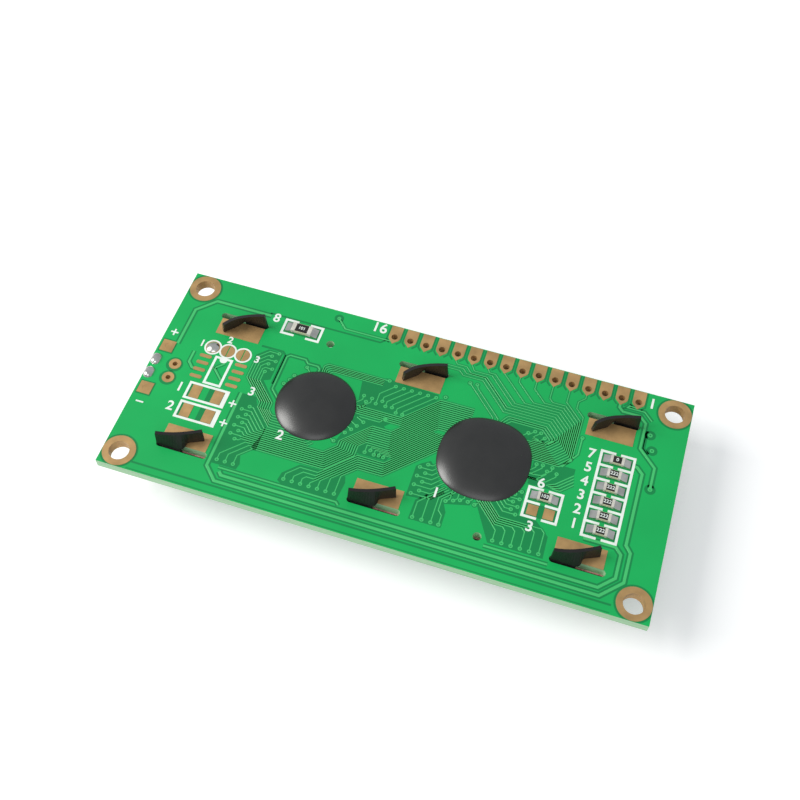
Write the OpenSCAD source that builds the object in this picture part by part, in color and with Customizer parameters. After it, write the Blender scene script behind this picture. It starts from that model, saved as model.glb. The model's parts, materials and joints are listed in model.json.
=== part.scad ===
// Character display module, 16 x 2, lying on its bezel with the component side up.
// X runs along the board, Y across it towards the header row, Z up.
// The origin is under the middle of the board, at the bezel's front face.

/* [Board] */
// Length of the circuit board
board_l = 80; // [78:1:100]
// Width of the circuit board
board_w = 36; // [36:1:44]
// Thickness of the circuit board
board_t = 1.6; // [1:0.1:2]
// Radius of the four mounting holes
mount_r = 1.5; // [1.2:0.05:1.5]
// Distance from a mounting hole's centre to the two edges beside it
mount_inset = 2.5; // [2.5:0.05:3.5]
// Width of the bare ring round a mounting hole
mount_ring_w = 0.95; // [0.5:0.05:0.95]
// Thickness of the bare metal of lands and rings
plate_t = 0.05; // [0.03:0.01:0.08]
// Thickness of the metal walls of the plated holes
barrel_t = 0.06; // [0.03:0.01:0.08]
// Radius of the two locating holes over the bezel's long walls
locating_r = 0.62; // [0.4:0.02:0.8]
// Distance from the board's ends to the locating holes
locating_inset = 24.95; // [23:0.05:26]

/* [Header row] */
// Number of holes in the header row
header_pins = 16; // [14:1:17]
// Distance between neighbouring header holes
header_pitch = 2.54; // [2.3:0.02:2.6]
// Radius of a header hole
header_r = 0.5; // [0.3:0.05:0.55]
// Distance from the first hole to the board's end
header_inset_x = 8; // [7.5:0.1:9]
// Distance from the row to the board's long edge
header_inset_y = 2.1; // [1.8:0.1:2.4]
// Width of a header land
header_land_w = 1.86; // [1.6:0.02:2]
// Length of the pointed end of a land, past its hole
header_tail = 1.3; // [1.2:0.05:1.6]
// Gap between a land and the board's edge
header_edge_gap = 0.08; // [0.05:0.01:0.2]

/* [Bezel] */
// Distance from the board's ends to the bezel's ends
bezel_inset = 4.35; // [3.8:0.05:5]
// Width of the bezel
bezel_w = 24.6; // [23.8:0.1:26]
// Height of the bezel, from its face to the board
bezel_h = 7; // [6.5:0.1:9]
// Thickness of the bezel's steel sheet
sheet_t = 0.5; // [0.3:0.05:0.6]
// Outside radius of the folds round the bezel's face
fold_r = 0.9; // [0.7:0.1:1.2]
// Offset of the bezel from the board's centre line
bezel_y = -0.5; // [-0.8:0.1:0]
// Width of the bezel's face beside the window's ends
face_end_w = 3.4; // [3:0.1:6]
// Width of the bezel's face beside the window's long sides
face_side_w = 4.4; // [4.2:0.1:5]
// Width of the bevel round the window
window_bevel = 0.3; // [0.1:0.05:0.4]
// Side of the relief notches at the bezel's four corners
relief = 0.9; // [0.7:0.1:1.2]

/* [Twist tabs] */
// Distance from the bezel's ends to the middle of its outer tabs
tab_inset = 6.55; // [5.5:0.05:8]
// Width of a tab before it is bent
tab_w = 7.5; // [7:0.1:7.8]
// Width of the part of a tab that stays in line with the wall
tab_root_w = 3.6; // [3.2:0.1:4]
// Height of a tab's upright end above the board
tab_h = 2.9; // [2:0.1:3.4]
// Drop of a tab's upper edge towards its wing's end
tab_drop = 0.8; // [0:0.1:1]
// Length of the sharp bend between a tab's root and its wing
tab_neck_l = 1.25; // [0.8:0.05:1.6]
// Length of the straight part of a tab's wing
tab_wing_l = 2.7; // [2:0.1:2.8]
// Length of a tab's upper edge
tab_edge_l = 6.6; // [5.8:0.1:6.8]
// Distance by which the upper edge starts past the root's end
tab_corner = 0.2; // [0.1:0.1:1]
// Gap between a tab's bent wing and the board
tab_lift = 0.15; // [0.1:0.05:0.4]
// Gap between a tab and each side of its slot
slot_side_gap = 0.27; // [0.15:0.01:0.35]
// Gap between a tab and each end of its slot
slot_end_gap = 0.15; // [0.12:0.01:0.3]
// Length of a bare land beside a slot
tab_land_l = 7; // [6:0.1:7.4]
// Width of a bare land beside a slot
tab_land_w = 2.95; // [2:0.05:3.1]

/* [Glass cell] */
// Thickness of each glass plate
glass_t = 1.1; // [0.7:0.1:1.1]
// Gap between the glass and the bezel's walls
glass_gap = 0.15; // [0.1:0.05:0.3]
// Width of the contact ledge along each long side of the front glass
ledge_w = 2.5; // [2.4:0.05:2.8]
// Thickness of each polariser
polariser_t = 0.2; // [0.1:0.05:0.3]
// Distance from the glass plates' ends to the polarisers
polariser_end_inset = 1.75; // [1.2:0.05:2]
// Distance from the rear glass's long sides to the polarisers
polariser_side_inset = 0.25; // [0.1:0.05:0.5]
// Thickness of the seal between the glass plates
seal_t = 0.05; // [0.03:0.01:0.08]
// Width of the seal
seal_w = 1.2; // [0.8:0.1:1.6]
// Distance from the glass plates' edges to the seal
seal_inset = 0.6; // [0.3:0.1:1]

/* [Connector strips] */
// Gap between a rubber connector strip's ends and the bezel's end walls
strip_end_gap = 1.65; // [0.5:0.05:3]
// Width of each rubber connector strip
strip_w = 1.9; // [1.5:0.1:2]
// Gap between a strip and the bezel's wall
strip_gap = 0.1; // [0.05:0.01:0.2]

/* [Backlight] */
// Thickness of the diffuser and of the reflector
film_t = 0.2; // [0.1:0.05:0.3]
// Gap between the light guide and what lies beside it
guide_gap = 0.3; // [0.1:0.05:0.5]
// Thickness of the carrier strip behind the light sources
carrier_t = 0.8; // [0.4:0.1:1]
// Gap between the carrier strip and the bezel's end wall
carrier_gap = 0.15; // [0.1:0.05:0.4]
// Number of light sources
led_count = 3; // [1:1:4]
// Length of a light source along the carrier
led_l = 3; // [2:0.1:3.4]
// Depth of a light source
led_d = 0.9; // [0.6:0.1:1.2]
// Height of a light source
led_h = 1.8; // [1.2:0.1:2]

/* [Backlight terminals] */
// Distance between the two terminals
lead_pitch = 2.54; // [2.4:0.02:3]
// Width of a terminal strip
lead_w = 0.8; // [0.5:0.05:0.9]
// Thickness of a terminal strip
lead_t = 0.3; // [0.2:0.05:0.35]
// Height of a terminal's end above the board
lead_rise = 0.35; // [0.2:0.05:0.4]
// Drop of the terminals below the board where they leave the bezel
lead_drop = 1.6; // [1.4:0.1:2.2]
// Inside radius of a terminal's bend
lead_bend = 0.4; // [0.3:0.05:0.8]
// Depth of the notches in the board's edge
notch_d = 1.1; // [0.95:0.05:1.2]
// Width of the notches in the board's edge
notch_w = 1.2; // [1:0.05:1.3]
// Length of the solder mound on a terminal
mound_l = 2.15; // [2:0.05:2.3]
// Width of the solder mound on a terminal
mound_w = 1.5; // [1.4:0.05:1.6]
// Height of the solder mound on a terminal
mound_h = 0.5; // [0.4:0.05:0.6]
// Distance from the board's end to the spare wire holes
wire_inset = 3.9; // [3.2:0.1:4.2]
// Radius of a spare wire hole
wire_r = 0.38; // [0.3:0.02:0.45]
// Width of the bare ring round a spare wire hole
wire_ring_w = 0.55; // [0.3:0.05:0.6]
// Distance between the two square wire lands
square_pitch = 8; // [7.6:0.1:10]
// Side of a square wire land
square_side = 2.05; // [1.6:0.05:2.2]
// Distance from a square land's centre to the board's end
square_inset = 1.47; // [1.3:0.01:1.8]
// Radius of the dimple in a square land
dimple_r = 0.42; // [0.2:0.02:0.6]
// Clearance on both sides of the terminals in the bezel's end wall
opening_gap = 0.5; // [0.3:0.1:1]

/* [Chip globs] */
// Width of the smaller glob, over the segment driver
driver_d = 12; // [10:0.1:12.6]
// Distance from the board's end to the middle of the smaller glob
driver_inset = 26.65; // [25.5:0.05:28]
// Place of the smaller glob across the board
driver_y = 0.45; // [-1.5:0.05:1]
// Width of the larger glob, over the controller
controller_d = 13.5; // [11:0.1:14]
// Distance from the board's end to the middle of the larger glob
controller_inset = 27.3; // [27.2:0.05:29]
// Place of the larger glob across the board
controller_y = -0.45; // [-1.5:0.05:1]
// Height of the globs
glob_h = 1.35; // [0.9:0.05:1.8]
// Side of the chips under the globs
die_side = 4.2; // [2:0.1:5]
// Thickness of the chips under the globs
die_t = 0.4; // [0.2:0.05:0.5]

/* [Chip resistors] */
// Number of resistors in the column
column_count = 6; // [4:1:6]
// Distance between neighbouring resistors of the column
column_pitch = 2.33; // [2.2:0.01:2.4]
// Distance from the board's end to the column
column_inset = 9.03; // [8.5:0.01:9.5]
// Place of the column's first resistor across the board
column_y = 5; // [4.6:0.1:5.2]
// Length of a small resistor
small_l = 2; // [1.8:0.05:2.2]
// Width of a small resistor
small_w = 1.25; // [1:0.05:1.4]
// Height of a small resistor
small_h = 0.5; // [0.35:0.05:0.7]
// Length of the large resistor
large_l = 3.2; // [2.8:0.05:3.4]
// Width of the large resistor
large_w = 1.6; // [1.4:0.05:1.7]
// Height of the large resistor
large_h = 0.55; // [0.35:0.05:0.7]
// Length of a resistor's end caps
cap_l = 0.32; // [0.2:0.02:0.4]
// Thickness of a resistor's end caps and dark coat
skin_t = 0.03; // [0.02:0.01:0.05]
// Distance of the dark coat's sides from the resistor's sides
coat_inset = 0.08; // [0.04:0.01:0.15]
// Length of the solder at each end of a resistor
solder_l = 0.98; // [0.6:0.02:1]
// Height of the solder against a resistor's end
solder_h = 0.42; // [0.2:0.02:0.45]
// Height of the solder at its toe
solder_toe = 0.08; // [0.03:0.01:0.15]
// Gap between the larger glob and the printed frame beside it
pair_gap = 0.4; // [0.3:0.05:0.8]
// Place of the resistor in that frame, across the board
pair_y = -3.95; // [-4.2:0.05:-3.5]
// Distance from the board's end to the large resistor
large_inset = 19.95; // [19.6:0.05:20.2]
// Distance from the far row of slots to the large resistor
large_rise = 1.05; // [0.8:0.05:1.2]

/* [Spare lands] */
// Distance from the board's end to the middle of the eight-pin outline
sop_inset = 10.6; // [10.4:0.05:10.9]
// Place of the eight-pin outline across the board
sop_y = 1.65; // [1.6:0.05:1.8]
// Distance between the two columns of the eight-pin outline
sop_span = 5.75; // [5.6:0.05:6]
// Length of a land of the eight-pin outline
sop_land_l = 1.92; // [1.6:0.02:2]
// Width of a land of the eight-pin outline
sop_land_w = 0.58; // [0.4:0.02:0.7]
// Distance between the rows of the eight-pin outline
sop_pitch = 1.27; // [1.2:0.01:1.3]
// Place of the jumpers across the board
jumper_y = 5.4; // [5.3:0.05:5.5]
// Radius of a jumper's split disc
jumper_r = 1.07; // [0.9:0.01:1.08]
// Distance between neighbouring jumpers
jumper_pitch = 2.45; // [2.45:0.01:2.6]
// Width of the slit across a jumper
jumper_slit = 0.15; // [0.1:0.01:0.25]
// Radius of the solder drop on the closed jumper
drop_r = 0.95; // [0.8:0.01:1]
// Height of the solder drop on the closed jumper
drop_h = 0.35; // [0.2:0.05:0.5]
// Length of a capacitor's land, across the board
capacitor_land_l = 2.25; // [2:0.05:2.4]
// Width of a capacitor's land
capacitor_land_w = 1.55; // [1.3:0.05:1.8]
// Distance between the two lands of a capacitor
capacitor_span = 3.47; // [3.2:0.01:3.6]
// Place of the first capacitor across the board
capacitor_y = -2.85; // [-2.9:0.05:-2.85]
// Distance between the two capacitors
capacitor_pitch = 3.45; // [3.3:0.05:3.5]
// Length of the lands of the small capacitor, across the board
spare_land_l = 1.65; // [1.4:0.05:1.7]
// Width of the lands of the small capacitor
spare_land_w = 1.5; // [1.2:0.05:1.6]
// Distance between the two lands of the small capacitor
spare_span = 2.35; // [2.2:0.05:2.5]

/* [Printed outlines] */
// Thickness of the white print
ink_t = 0.03; // [0.02:0.01:0.05]
// Width of a printed line
ink_w = 0.38; // [0.3:0.01:0.4]
// Gap between the print and bare metal
ink_gap = 0.02; // [0.01:0.01:0.05]
// Width of the frames round the small resistors
frame_w = 5.2; // [5:0.05:5.4]
// Opening in the lines between the small resistors
frame_opening = 0.7; // [0.4:0.1:1]
// Length of the frame round the large resistor
large_frame_l = 6.35; // [6:0.05:6.6]
// Width of the frame round the large resistor
large_frame_w = 2.95; // [2.6:0.05:3.1]
// Opening in the frame round the large resistor
large_opening = 1.9; // [1.2:0.1:2.4]
// Length of a capacitor's frame
capacitor_frame_l = 6.45; // [6.2:0.05:6.6]
// Width of a capacitor's frame
capacitor_frame_w = 3.08; // [2.9:0.01:3.2]
// Width of the thick side of a capacitor's frame
capacitor_side_w = 0.65; // [0.4:0.05:0.75]
// Width of the eight-pin outline's frame
sop_frame_w = 2.9; // [2.6:0.05:3.2]
// Length of the eight-pin outline's frame
sop_frame_l = 5.2; // [5:0.05:5.3]
// Distance from the eight-pin outline's middle to its frame's
sop_frame_drop = 0.15; // [0.1:0.05:0.3]
// Radius of the mark at the top of that frame
sop_mark_r = 0.6; // [0.3:0.05:0.8]
// Width of the ring round a jumper
ring_w = 0.26; // [0.2:0.01:0.3]

/* [Hidden] */
$fn = 48;
// Depth by which a cut passes a face
past = 1;
// Inset that keeps a bent tab's faces inside its root's
weld = 0.01;

// Heights of the layers, from the bezel's face up to the board
front_polariser_z = sheet_t;
front_glass_z = front_polariser_z + polariser_t;
seal_z = front_glass_z + glass_t;
rear_glass_z = seal_z + seal_t;
rear_polariser_z = rear_glass_z + glass_t;
diffuser_z = rear_polariser_z + polariser_t;
guide_z = diffuser_z + film_t;
board_z = bezel_h;
reflector_z = board_z - film_t;
guide_t = reflector_z - guide_z;
board_top = board_z + board_t;
land_top = board_top + plate_t;

// Outline and window of the bezel
bezel_l = board_l - 2 * bezel_inset;
window_l = bezel_l - 2 * face_end_w;
window_w = bezel_w - 2 * face_side_w;

// Glass, strips and backlight between the bezel's walls
room_l = bezel_l - 2 * sheet_t;
room_w = bezel_w - 2 * sheet_t;
glass_l = room_l - 2 * glass_gap;
glass_w = room_w - 2 * glass_gap;
rear_glass_w = glass_w - 2 * ledge_w;
polariser_l = glass_l - 2 * polariser_end_inset;
polariser_w = rear_glass_w - 2 * polariser_side_inset;
strip_l = room_l - 2 * strip_end_gap;
strip_y = room_w / 2 - strip_gap - strip_w / 2;
guide_w = 2 * (strip_y - strip_w / 2 - guide_gap);
carrier_x = -room_l / 2 + carrier_gap;
led_x = carrier_x + carrier_t;
guide_start = led_x + led_d + guide_gap;
guide_end = room_l / 2 - guide_gap;

// Slots for the tabs, centred on the bezel's long walls
tab_pitch = bezel_l / 2 - tab_inset;
wall_y = bezel_w / 2 - sheet_t / 2;
slot_l = tab_w + 2 * slot_end_gap;
slot_w = sheet_t + 2 * slot_side_gap;

// Places on the board
board_end = board_l / 2;
mount_x = board_end - mount_inset;
mount_y = board_w / 2 - mount_inset;
locating_x = board_end - locating_inset;
header_x = board_end - header_inset_x;
header_y = board_w / 2 - header_inset_y;
header_land_l = header_inset_y - header_edge_gap;
header_ring_w = header_land_w / 2 - header_r;
wire_x = -board_end + wire_inset;
square_x = -board_end + square_inset;
notch_x = -board_end + notch_d - notch_w / 2;
mound_x = -board_end + mound_w / 2;
lead_x = notch_x - lead_t / 2;
lead_ys = [bezel_y + lead_pitch / 2, bezel_y - lead_pitch / 2];
driver_place = [-board_end + driver_inset, driver_y];
controller_place = [board_end - controller_inset, controller_y];
column_x = board_end - column_inset;
column_places = [for (i = [0:column_count - 1]) [column_x, column_y - i * column_pitch]];
pair_place = [controller_place[0] + controller_d / 2 + pair_gap + frame_w / 2, pair_y];
large_place = [-board_end + large_inset, bezel_y + wall_y + large_rise];
sop_x = -board_end + sop_inset;
sop_place = [sop_x, sop_y];
sop_rows = 4;
jumper_places = [for (i = [-1:1]) [sop_x + i * jumper_pitch, jumper_y]];
capacitor_places = [for (i = [0:1]) [sop_x, capacitor_y - i * capacitor_pitch]];

// How far each tab is turned: at its neck, along its lower edge, then at the start,
// middle and end of its upper edge
tab_turns_near = [[84, 25, 12, 27, 35], [84, 24, 12, 26, 34], [84, 25, 12, 27, 35]];
tab_turns_far = [[64, 45, 10, 24, 58], [64, 42, 9, 22, 55], [62, 36, 8, 18, 48]];
// Sections along a tab
tab_steps = 18;
// Powers that shape the globs' outlines: 2 is a circle, more is squarer
driver_squareness = 2.05;
controller_squareness = 2.3;

// ---- Shared shapes and places ----

// A rectangle with round ends
module slot_shape(length, width) {
    square([length - width, width], center = true);
    for (side = [-1, 1])
        translate([side * (length - width) / 2, 0])
            circle(d = width);
}

// A flat slab centred on X and Y, standing on a height
module slab(length, width, height, z) {
    translate([-length / 2, -width / 2, z])
        cube([length, width, height]);
}

// Bare metal of a shape, on the board's component side
module bare_metal() {
    color("goldenrod")
        translate([0, 0, board_top])
            linear_extrude(plate_t)
                children();
}

// A hole's metal wall with a ring on each side of the board
module plated_hole(hole_r, ring_w) {
    color("goldenrod")
        translate([0, 0, board_z])
            rotate_extrude() {
                translate([hole_r, -plate_t])
                    square([barrel_t, board_t + 2 * plate_t]);
                for (z = [-plate_t, board_t])
                    translate([hole_r, z])
                        square([ring_w, plate_t]);
            }
}

module at_mounts() {
    for (x = [-mount_x, mount_x], y = [-mount_y, mount_y])
        translate([x, y])
            children();
}

module at_header() {
    for (i = [0:header_pins - 1])
        translate([header_x - i * header_pitch, header_y])
            children();
}

module at_wire_holes() {
    for (y = lead_ys)
        translate([wire_x, y])
            children();
}

module at_locating_holes() {
    for (side = [-1, 1])
        translate([side * locating_x, bezel_y - side * wall_y])
            children();
}

module at_slots() {
    for (i = [-1:1], side = [-1, 1])
        translate([i * tab_pitch, bezel_y + side * wall_y])
            mirror([0, side > 0 ? 1 : 0])
                children();
}

// The places and sizes of the resistors, in order
function resistor_place(i) =
    i < column_count ? column_places[i] : i == column_count ? pair_place : large_place;
function resistor_size(i) =
    i > column_count ? [large_l, large_w, large_h] : [small_l, small_w, small_h];

// ---- Board and its metal ----

module notch_shape() {
    translate([-board_end - past, -notch_w / 2])
        square([notch_d + past - notch_w / 2, notch_w]);
    translate([notch_x, 0])
        circle(d = notch_w);
}

module pcb() {
    color("mediumseagreen")
        translate([0, 0, board_z])
            linear_extrude(board_t)
                difference() {
                    square([board_l, board_w], center = true);
                    at_mounts()
                        circle(r = mount_r + barrel_t);
                    at_header()
                        circle(r = header_r + barrel_t);
                    at_wire_holes()
                        circle(r = wire_r + barrel_t);
                    at_locating_holes()
                        circle(r = locating_r);
                    at_slots()
                        slot_shape(slot_l, slot_w);
                    for (y = lead_ys)
                        translate([0, y])
                            notch_shape();
                }
}

module mounting_rings() {
    at_mounts()
        plated_hole(mount_r, mount_ring_w);
}

// A land that runs from its hole to the board's edge and ends in a point
module header_land() {
    difference() {
        union() {
            circle(d = header_land_w);
            translate([-header_land_w / 2, 0])
                square([header_land_w, header_land_l]);
            polygon([for (turn = [-150, -90, -30])
                (turn == -90 ? header_tail : header_land_w / 2) * [cos(turn), sin(turn)]]);
        }
        circle(r = header_r);
    }
}

module header_lands() {
    at_header() {
        plated_hole(header_r, header_ring_w);
        bare_metal()
            header_land();
    }
}

module tab_lands() {
    bare_metal()
        at_slots()
            translate([-tab_land_l / 2, slot_w / 2])
                square([tab_land_l, tab_land_w]);
}

module backlight_lands() {
    at_wire_holes()
        plated_hole(wire_r, wire_ring_w);
    color("goldenrod")
        for (side = [-1, 1])
            translate([square_x, bezel_y + side * square_pitch / 2, board_top])
                difference() {
                    linear_extrude(plate_t)
                        square(square_side, center = true);
                    translate([0, 0, plate_t / 2])
                        cylinder(r = dimple_r, h = past);
                }
}

module land_pair(span, land) {
    for (side = [-1, 1])
        translate([side * span / 2, 0])
            square(land, center = true);
}

// The two lands under a resistor, reaching under its end caps and its solder
module resistor_land_pair(size) {
    inner = size[0] / 2 - cap_l;
    outer = size[0] / 2 + solder_l;
    land_pair(inner + outer, [outer - inner, size[1]]);
}

module component_lands() {
    bare_metal() {
        for (i = [0:column_count + 1])
            translate(resistor_place(i))
                resistor_land_pair(resistor_size(i));
        translate(sop_place)
            for (side = [-1, 1], row = [0:sop_rows - 1])
                translate([side * sop_span / 2, (row - (sop_rows - 1) / 2) * sop_pitch])
                    slot_shape(sop_land_l, sop_land_w);
        for (place = jumper_places)
            translate(place)
                difference() {
                    circle(r = jumper_r);
                    square([jumper_slit, 2 * jumper_r + past], center = true);
                }
        for (place = capacitor_places)
            translate(place)
                land_pair(capacitor_span, [capacitor_land_w, capacitor_land_l]);
        translate(pair_place - [0, column_pitch])
            land_pair(spare_span, [spare_land_w, spare_land_l]);
    }
}

// ---- Printed outlines ----

// A printed box, with the width of its right side given apart
module ink_box(size, right_w) {
    difference() {
        square(size, center = true);
        translate([-size[0] / 2 + ink_w, -size[1] / 2 + ink_w])
            square([size[0] - ink_w - right_w, size[1] - 2 * ink_w]);
    }
}

// Cells one above the other, open in the middle of each line across
module ink_ladder(cells, pitch, width, opening) {
    difference() {
        union() {
            for (side = [-1, 1])
                translate([side * (width - ink_w) / 2, 0])
                    square([ink_w, cells * pitch + ink_w], center = true);
            for (i = [0:cells])
                translate([0, (i - cells / 2) * pitch])
                    square([width, ink_w], center = true);
        }
        square([opening, cells * pitch + 2 * past], center = true);
    }
}

// A split disc's ring
module ink_ring() {
    difference() {
        circle(r = jumper_r + ink_gap + ring_w);
        circle(r = jumper_r + ink_gap);
    }
}

// The half disc that marks the first land of the eight-pin outline
module ink_mark() {
    intersection() {
        circle(r = sop_mark_r);
        translate([-sop_mark_r, -sop_mark_r])
            square([2 * sop_mark_r, sop_mark_r]);
    }
}

module all_outlines() {
    translate([column_x, column_y - (column_count - 1) * column_pitch / 2])
        ink_ladder(column_count, column_pitch, frame_w, frame_opening);
    translate(pair_place - [0, column_pitch / 2])
        ink_ladder(2, column_pitch, frame_w, frame_opening);
    translate(large_place)
        ink_ladder(1, large_frame_w - ink_w, large_frame_l, large_opening);
    for (place = capacitor_places)
        translate(place)
            ink_box([capacitor_frame_l, capacitor_frame_w], capacitor_side_w);
    translate(sop_place - [0, sop_frame_drop]) {
        ink_box([sop_frame_w, sop_frame_l], ink_w);
        translate([0, sop_frame_l / 2 - ink_w])
            ink_mark();
    }
    for (place = jumper_places)
        translate(place)
            ink_ring();
}

// The print stops short of the bare lands beside the slots
module printed_outlines() {
    color("white")
        translate([0, 0, board_top])
            linear_extrude(ink_t)
                difference() {
                    all_outlines();
                    at_slots()
                        translate([-tab_land_l / 2 - ink_gap, -slot_w / 2])
                            square([tab_land_l + 2 * ink_gap, slot_w + tab_land_w + ink_gap]);
                }
}

// ---- Bezel ----

// A box's cross-section with its two lower corners rounded
module folded_section(width, height, radius) {
    translate([-width / 2, radius])
        square([width, height - radius]);
    translate([-width / 2 + radius, 0])
        square([width - 2 * radius, radius]);
    for (side = [-1, 1])
        translate([side * (width / 2 - radius), radius])
            circle(r = radius);
}

// A block whose lower edges are rounded all round, as folds leave them
module folded_block(length, width, height, radius) {
    intersection() {
        rotate([90, 0, 0])
            linear_extrude(width, center = true)
                folded_section(length, height, radius);
        rotate([90, 0, 90])
            linear_extrude(length, center = true)
                folded_section(width, height, radius);
    }
}

// A window's cross-section, wider by its bevel at the bezel's face
module window_section(width) {
    half = width / 2;
    polygon([
        [-half - window_bevel - past, -past],
        [half + window_bevel + past, -past],
        [half, window_bevel],
        [half, sheet_t + past],
        [-half, sheet_t + past],
        [-half, window_bevel]
    ]);
}

module window() {
    intersection() {
        rotate([90, 0, 0])
            linear_extrude(bezel_w, center = true)
                window_section(window_l);
        rotate([90, 0, 90])
            linear_extrude(bezel_l, center = true)
                window_section(window_w);
    }
}

// A tab's outline seen from above, as points a step apart that turn by the given angles
function tab_path(turns, step, i) =
    i == 0 ? [0, 0] : tab_path(turns, step, i - 1) + step * [cos(turns[i - 1]), sin(turns[i - 1])];

// The part of a tab above the board: its lower edge keeps to the slot along the root,
// then swings over the land, and its upper edge leans over all the way
module tab_wing(turns) {
    half = sheet_t / 2 - weld;
    lower_l = tab_root_w + tab_neck_l + tab_wing_l;
    neck_end = tab_root_w + tab_neck_l;
    blend = tab_neck_l / 4;
    lower_turns = [for (i = [0:tab_steps])
        lookup(i / tab_steps * lower_l, [
            [tab_root_w - blend, 0],
            [tab_root_w + blend, turns[0]],
            [neck_end - blend, turns[0]],
            [neck_end + blend, turns[1]]
        ])];
    upper_turns = [for (i = [0:tab_steps])
        lookup(i / tab_steps, [[0, turns[2]], [0.5, turns[3]], [1, turns[4]]])];
    points = [for (i = [0:tab_steps])
        let (
            low = tab_path(lower_turns, lower_l / tab_steps, i) + [weld, 0],
            high = tab_path(upper_turns, tab_edge_l / tab_steps, i) + [tab_corner, 0],
            high_z = tab_h - tab_lift - tab_drop * i / tab_steps,
            low_side = half * [-sin(lower_turns[i]), cos(lower_turns[i])],
            high_side = half * [-sin(upper_turns[i]), cos(upper_turns[i])]
        )
        each [
            concat(low - low_side, 0),
            concat(low + low_side, 0),
            concat(high + high_side, high_z),
            concat(high - high_side, high_z)
        ]];
    last = 4 * tab_steps;
    sides = [for (i = [0:tab_steps - 1], k = [0:3])
        let (a = 4 * i + k, b = 4 * i + (k + 1) % 4)
        each [[a, a + 4, b], [b, a + 4, b + 4]]];
    ends = [[0, 1, 2], [0, 2, 3], [last + 2, last + 1, last], [last + 3, last + 2, last]];
    polyhedron(points = points, faces = concat(sides, ends));
}

// A tab from the wall's top edge up: the root through its slot, and the bent wing
module twist_tab(turns) {
    root_top = board_top + tab_lift + 3 * weld;
    translate([0, -sheet_t / 2, board_z - sheet_t])
        cube([tab_root_w, sheet_t, root_top - board_z + sheet_t]);
    translate([0, 0, board_top + tab_lift])
        tab_wing(turns);
}

module bezel() {
    opening_w = lead_pitch + 2 * (wire_r + wire_ring_w + opening_gap);
    relief_z = fold_r + sheet_t;
    color("#1b1b1b")
        translate([0, bezel_y, 0]) {
            difference() {
                folded_block(bezel_l, bezel_w, bezel_h, fold_r);
                translate([0, 0, sheet_t])
                    folded_block(room_l, room_w, bezel_h, fold_r - sheet_t);
                window();
                for (x = [-1, 1], y = [-1, 1])
                    translate([x * bezel_l / 2, y * bezel_w / 2, relief_z])
                        slab(2 * relief, 2 * relief, bezel_h, 0);
                translate([-bezel_l / 2, 0, board_z - lead_drop - lead_t - sheet_t])
                    slab(4 * sheet_t, opening_w, bezel_h, 0);
            }
            for (i = [-1:1]) {
                translate([i * tab_pitch - tab_w / 2, -wall_y])
                    twist_tab(tab_turns_near[i + 1]);
                translate([i * tab_pitch + tab_w / 2, wall_y])
                    rotate(180)
                        twist_tab(tab_turns_far[i + 1]);
            }
        }
}

// ---- Glass cell ----

module in_bezel() {
    translate([0, bezel_y, 0])
        children();
}

module front_polariser() {
    color("#20242c")
        in_bezel()
            slab(polariser_l, polariser_w, polariser_t, front_polariser_z);
}

module front_glass() {
    color("azure", 0.6)
        in_bezel()
            slab(glass_l, glass_w, glass_t, front_glass_z);
}

module cell_seal() {
    outer_l = glass_l - 2 * seal_inset;
    outer_w = rear_glass_w - 2 * seal_inset;
    color("gainsboro")
        in_bezel()
            difference() {
                slab(outer_l, outer_w, seal_t, seal_z);
                slab(outer_l - 2 * seal_w, outer_w - 2 * seal_w, seal_t + 2 * past, seal_z - past);
            }
}

module rear_glass() {
    color("azure", 0.6)
        in_bezel()
            slab(glass_l, rear_glass_w, glass_t, rear_glass_z);
}

module rear_polariser() {
    color("#20242c")
        in_bezel()
            slab(polariser_l, polariser_w, polariser_t, rear_polariser_z);
}

module connector_strip(side) {
    color("#d8959a")
        in_bezel()
            translate([0, side * strip_y, 0])
                slab(strip_l, strip_w, board_z - seal_z, seal_z);
}

module connector_strip_far() {
    connector_strip(1);
}

module connector_strip_near() {
    connector_strip(-1);
}

// ---- Backlight ----

module diffuser_film() {
    color("white")
        in_bezel()
            slab(room_l - 2 * guide_gap, guide_w, film_t, diffuser_z);
}

module light_guide() {
    color("whitesmoke", 0.8)
        in_bezel()
            translate([guide_start, -guide_w / 2, guide_z])
                cube([guide_end - guide_start, guide_w, guide_t]);
}

module reflector_film() {
    color("silver")
        in_bezel()
            slab(room_l - 2 * guide_gap, guide_w, film_t, reflector_z);
}

module led_carrier() {
    color("ivory")
        in_bezel()
            translate([carrier_x, -guide_w / 2, guide_z])
                cube([carrier_t, guide_w, guide_t]);
}

module backlight_leds() {
    spacing = guide_w / led_count;
    first_y = -(led_count - 1) / 2 * spacing - led_l / 2;
    color("lightyellow")
        in_bezel()
            for (i = [0:led_count - 1])
                translate([led_x, first_y + i * spacing, guide_z + (guide_t - led_h) / 2])
                    cube([led_d, led_l, led_h]);
}

// A strip that leaves the carrier, runs under the board and turns up through its notch
module lead_section() {
    outer = lead_bend + lead_t;
    run_z = board_z - lead_drop - lead_t;
    bend_x = lead_x + outer;
    translate([bend_x, run_z])
        square([carrier_x - bend_x, lead_t]);
    translate([lead_x, run_z + outer])
        square([lead_t, board_top + lead_rise - run_z - outer]);
    translate([bend_x, run_z + outer])
        intersection() {
            difference() {
                circle(r = outer);
                circle(r = lead_bend);
            }
            translate([-outer, -outer])
                square(outer);
        }
}

module lead(y) {
    color("silver")
        translate([0, y + lead_w / 2, 0])
            rotate([90, 0, 0])
                linear_extrude(lead_w)
                    lead_section();
}

module anode_lead() {
    lead(lead_ys[0]);
}

module cathode_lead() {
    lead(lead_ys[1]);
}

// ---- Chips under their globs ----

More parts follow.
